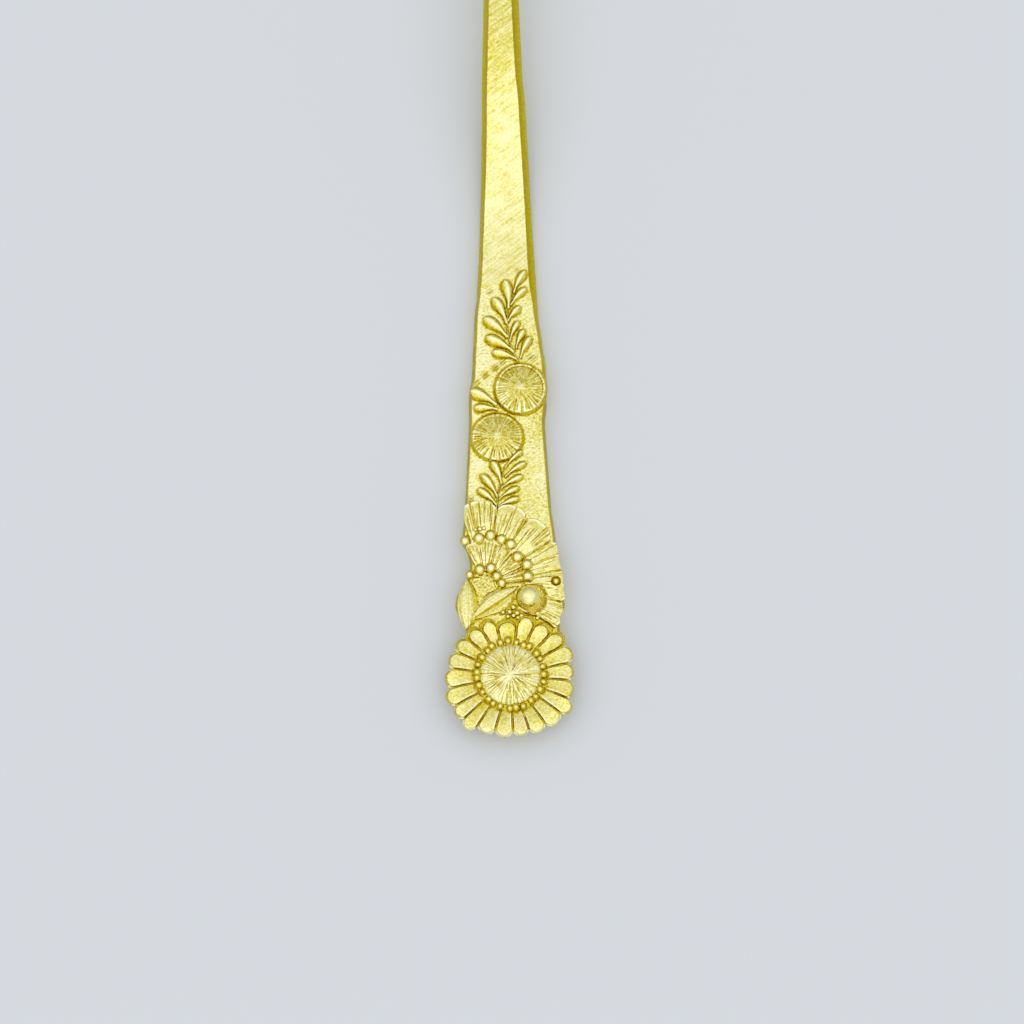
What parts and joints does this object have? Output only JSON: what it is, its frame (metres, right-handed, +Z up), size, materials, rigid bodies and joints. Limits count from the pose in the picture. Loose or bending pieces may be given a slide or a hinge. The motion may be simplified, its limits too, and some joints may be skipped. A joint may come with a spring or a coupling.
{
  "type": "dessert fork",
  "caption": "Dessert fork with a tapered, arched bar handle whose flat end carries a floral relief: a daisy, a half flower with beads, leaves and button flowers.",
  "frame": {"origin": "middle of the fork's length and width, on the table it rests on", "axes": "+Y along the fork from the handle's end to the tine tips, +Z up out of the ornamented face, +X to the right"},
  "size_m": [0.0174, 0.15, 0.0083],
  "materials": {
    "brushed_bar": "diagonally brushed",
    "satin_relief": "satin, grained",
    "polished_beads": "polished"
  },
  "bodies": {
    "root": {"fork_blank": "brushed_bar", "daisy_wheel": "satin_relief", "daisy_beads": "polished_beads", "daisy_dome": "satin_relief", "outer_fans": "satin_relief", "outer_beads": "polished_beads", "inner_fans": "satin_relief", "inner_beads": "polished_beads", "half_flower_core": "satin_relief", "edge_bead": "polished_beads", "pearl": "polished_beads", "pearl_collar": "satin_relief", "filler_grains": "polished_beads", "upright_leaf": "satin_relief", "slanted_leaf": "satin_relief", "lower_spray": "satin_relief", "lower_flower": "satin_relief", "side_leaves": "satin_relief", "upper_flower": "satin_relief", "upper_spray": "satin_relief"}
  },
  "joints": []
}
